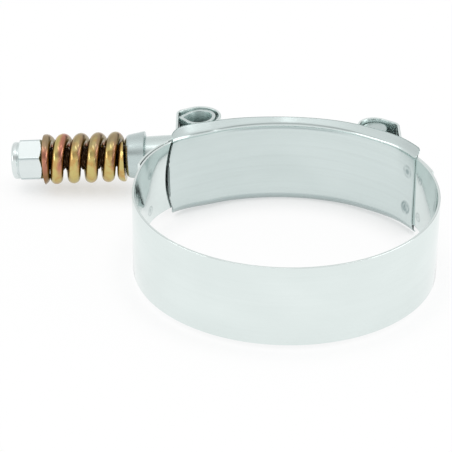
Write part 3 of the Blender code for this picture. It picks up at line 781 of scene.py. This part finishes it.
def nut_rows(steps=180):
    """Rings of the nut from its bearing face to the collar and back down the bore, and its painted edge
    shade.

    The radius is the least of the hexagon, flat / cos(angle from the flat's middle), held just short
    of the corner, and the cone of the chamfer, which grows by the root of 3 for each step in height.
    """
    turn = np.linspace(0, 2 * math.pi, steps, endpoint=False)
    from_flat = (turn + math.pi / 6) % (math.pi / 3) - math.pi / 6
    hexagon = nut_flat / np.cos(np.clip(from_flat, -corner_held, corner_held))
    heights = np.concatenate([np.linspace(0.0, 0.7, 8), np.linspace(1.0, 5.0, 6), np.linspace(5.2, 6.0, 9)])
    rows = []
    for height in heights * MM:
        low_cone = low_chamfer + math.sqrt(3) * height
        high_cone = high_chamfer + math.sqrt(3) * (hex_height - height)
        rows.append((height, np.minimum(hexagon, min(low_cone, high_cone))))
    outline = [(hex_height + 0.02 * MM, collar_radius - collar_neck),
               (hex_height + 0.25 * MM, collar_radius - collar_neck + 0.02 * MM),
               (hex_height + 0.5 * MM, collar_radius)]
    outline += [(nut_height - collar_round + collar_round * math.sin(t),
                 collar_radius - collar_round + collar_round * math.cos(t))
                for t in np.linspace(0, math.pi / 2, 8)]
    outline += [(nut_height, lip_radius + 0.12 * MM), (nut_height - 0.1 * MM, lip_radius),
                (nylon_high, lip_radius), (nylon_high, nylon_radius), (nylon_low, nylon_radius),
                (nylon_low, bore_radius), (0.6 * MM, bore_radius), (0.0, bore_radius + 0.6 * MM)]
    rows += [(height, np.full(steps, radius)) for height, radius in outline]
    a = nut_face - np.array([height for height, radius in rows])
    r = np.array([radius for height, radius in rows])
    # Painted shade: darker lines along the hexagon's corners, at the step to the collar and round the
    # collar's rim.
    corners = smooth((np.abs(from_flat) - math.radians(26.0)) / math.radians(3.0))
    high = nut_face - a
    step = smooth(1 - np.abs(high - hex_height) / (0.45 * MM))
    rim = smooth((high - nut_height + 0.35 * MM) / (0.3 * MM))
    on_hexagon = np.array([height < hex_height for height, radius in rows])
    edge_shade = np.maximum(on_hexagon[:, None] * corners, 0.3 * np.maximum(step, rim)[:, None])
    return on_bolt(a[:, None], r * np.cos(turn), r * np.sin(turn)), edge_shade


# The zinc's last colour is that painted edge shade.
zinc = bright_steel("bright_zinc_plate", (0.79, 0.85, 0.845), (0.75, 0.81, 0.805), 0.20, 0.26, fine=400.0,
                    bend_wear_and_painted_shade=(0.70, 0.75, 0.76))
nut_grid, nut_edge_shade = nut_rows()
nut = skin("lock_nut_plated", nut_grid, zinc, closed=True, sharp=24.0)
mark(nut, "bend_wear_and_painted_shade", nut_edge_shade)
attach(nut, "nut")
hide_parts("lock_nut")

nylon = bpy.data.materials.new("nylon_ring")
nylon.use_nodes = True
nylon_shader = nylon.node_tree.nodes["Principled BSDF"]
cloud = stretched_noise(nylon.node_tree, (400.0, 400.0, 400.0), 2.0)
wire(nylon.node_tree, nylon_shader.inputs["Base Color"],
     mixed(nylon.node_tree, "MIX", cloud, (0.80, 0.79, 0.73), (0.72, 0.71, 0.65)))
wire(nylon.node_tree, nylon_shader.inputs["Roughness"], ranged(nylon.node_tree, cloud, 0.38, 0.5))
nylon_shader.inputs["Subsurface Weight"].default_value = 0.15
nylon_shader.inputs["Subsurface Scale"].default_value = 0.5 * MM
insert = frame["nodes"]["nylon_insert"]
insert.data.materials.clear()
insert.data.materials.append(nylon)

# Bench and light. A pale matt bench, a white room of which mirrors see a dim doorway and a few darker
# walls, and four soft boxes. The camera looks down at the clamp from the front, as the photo does.
bench_size = 3.0
bench_whitening = 0.94
shadow_whitening = 0.45
shadow_reach = 9.0 * MM
room_level = 0.97
wall_levels = ((0.0, 1.0), (0.14, 0.98), (0.20, 0.60), (0.29, 0.58), (0.34, 0.90), (0.39, 1.08),
               (0.50, 1.06), (0.60, 0.98), (0.69, 0.86), (0.76, 0.84), (0.84, 0.84), (1.0, 0.95))
wall_brightest = 1.2
doorway_level = 0.35
high_side_level = 0.82

bench_mesh = bpy.data.meshes.new("bench")
bench_corners = [(x * bench_size, y * bench_size, 0.0) for x, y in ((-1, -1), (1, -1), (1, 1), (-1, 1))]
bench_mesh.from_pydata(bench_corners, [], [(0, 1, 2, 3)])
bench = bpy.data.objects.new("bench", bench_mesh)
bpy.context.collection.objects.link(bench)
bench_paint = bpy.data.materials.new("bench_white")
bench_paint.use_nodes = True
paint = bench_paint.node_tree
flat_paint = paint.nodes["Principled BSDF"]
flat_paint.inputs["Base Color"].default_value = (0.95, 0.955, 0.955, 1.0)
flat_paint.inputs["Roughness"].default_value = 0.9
flat_paint.inputs["Specular IOR Level"].default_value = 0.0


def seen_rays(tree):
    """One for a ray from the camera, a mirror or a glass, and nought for one that lights a surface."""
    rays = add(tree, "ShaderNodeLightPath").outputs
    seen = reckon(tree, "MAXIMUM", rays["Is Camera Ray"], rays["Is Glossy Ray"])
    return reckon(tree, "MAXIMUM", seen, rays["Is Transmission Ray"])


glow = add(paint, "ShaderNodeEmission", Color=(1.0, 1.0, 1.0, 1.0), Strength=1.0)
openness = add(paint, "ShaderNodeAmbientOcclusion", {"samples": 8}, Distance=shadow_reach).outputs["AO"]
whitening = ranged(paint, openness, shadow_whitening, bench_whitening, 0.3, 0.97)
whitened = add(paint, "ShaderNodeMixShader", Fac=reckon(paint, "MULTIPLY", seen_rays(paint), whitening))
wire(paint, whitened.inputs[1], flat_paint.outputs["BSDF"])
wire(paint, whitened.inputs[2], glow.outputs["Emission"])
wire(paint, paint.nodes["Material Output"].inputs["Surface"], whitened.outputs["Shader"])
bench_mesh.materials.append(bench_paint)

world = bpy.data.worlds.new("white_room")
bpy.context.scene.world = world
world.use_nodes = True
room = world.node_tree
for old in list(room.nodes):
    room.nodes.remove(old)
heading = add(room, "ShaderNodeSeparateXYZ", Vector=add(room, "ShaderNodeTexCoord").outputs["Generated"])
heading = heading.outputs
pitch = reckon(room, "ARCTAN2", heading["Z"], reckon(room, "MULTIPLY", heading["Y"], -1.0))
walls = curved(room, ranged(room, pitch, 0.0, 1.0, 0.0, math.pi),
               [(place, brightness / wall_brightest) for place, brightness in wall_levels])
in_mirrors = ranged(room, walls, 0.0, wall_brightest, 0.0, 1.0)
doorway = ranged(room, heading["X"], 0.0, 1.0, 0.1, 0.4)
doorway = reckon(room, "MULTIPLY", doorway, ranged(room, heading["Y"], 0.0, 1.0, 0.3, 0.6))
doorway = reckon(room, "MULTIPLY", doorway, ranged(room, heading["Z"], 0.0, 1.0, 0.38, 0.22))
sideways = ranged(room, reckon(room, "ABSOLUTE", heading["X"]), 0.0, 1.0, 0.3, 0.6)
high_sides = reckon(room, "MULTIPLY", sideways, ranged(room, heading["Z"], 0.0, 1.0, 0.4, 0.6))
for part, dimmed_to in ((doorway, doorway_level), (high_sides, high_side_level)):
    in_mirrors = reckon(room, "MULTIPLY", in_mirrors, ranged(room, part, 1.0, dimmed_to, 0.0, 1.0))
level = add(room, "ShaderNodeMix", {"data_type": "FLOAT"})
wire(room, level.inputs[0], add(room, "ShaderNodeLightPath").outputs["Is Glossy Ray"])
wire(room, level.inputs[2], ranged(room, seen_rays(room), room_level, 1.0, 0.0, 1.0))
wire(room, level.inputs[3], in_mirrors)
sky = add(room, "ShaderNodeBackground", Color=(1.0, 1.0, 1.0, 1.0), Strength=level.outputs[0])
add(room, "ShaderNodeOutputWorld", Surface=sky.outputs["Background"])


def soft_box(name, place, aim, width, height, watts):
    """A rectangular soft box at a place, turned to a point."""
    lamp = bpy.data.lights.new(name, "AREA")
    lamp.shape = "RECTANGLE"
    lamp.size = width
    lamp.size_y = height
    lamp.energy = watts
    made = bpy.data.objects.new(name, lamp)
    made.location = place
    made.rotation_euler = (Vector(aim) - Vector(place)).to_track_quat("-Z", "Y").to_euler()
    bpy.context.collection.objects.link(made)


soft_box("soft_box_over", (-0.12, -0.16, 0.78), (0.0, 0.0, 0.0), 0.46, 0.12, 0.21)
soft_box("soft_box_over_right", (0.36, 0.0, 0.70), (0.0, 0.0, 0.0), 0.16, 0.18, 0.12)
soft_box("soft_box_right", (0.72, -0.12, 0.27), (0.0, 0.0, 0.01), 0.50, 0.34, 0.85)
soft_box("soft_box_left", (-0.72, -0.24, 0.26), (0.0, 0.0, 0.01), 0.46, 0.16, 0.50)

picture_pixels = 452.0
focal_pixels = 2215.0
distance = 0.5172
elevation = math.radians(29.37)
pixel_at_target = distance / focal_pixels
aside = 59.77 * pixel_at_target
raise_by = 36.17 * pixel_at_target
roll = math.radians(0.51)
yaw = math.radians(1.5)

right = Vector((1, 0, 0))
forward = Vector((0, math.cos(elevation), -math.sin(elevation)))
upright = Vector((0, math.sin(elevation), math.cos(elevation)))
place = -forward * distance - right * aside - upright * raise_by
turned = Matrix.Rotation(yaw, 3, "Z")
right, forward, upright, place = (turned @ v for v in (right, forward, upright, place))
rolled = Matrix.Rotation(-roll, 3, forward)
right, upright = rolled @ right, rolled @ upright
target = Vector(ring_centre) + Vector((0, 0, strip_half_width))
pose = Matrix((right, upright, -forward)).transposed().to_4x4()
pose.translation = place + target
lens = bpy.data.cameras.new("camera")
lens.sensor_width = 36.0
lens.lens = lens.sensor_width * focal_pixels / picture_pixels
lens.clip_start = 0.01
camera = bpy.data.objects.new("camera", lens)
camera.matrix_world = pose
bpy.context.collection.objects.link(camera)
bpy.context.scene.camera = camera
bpy.context.scene.view_settings.view_transform = "Standard"
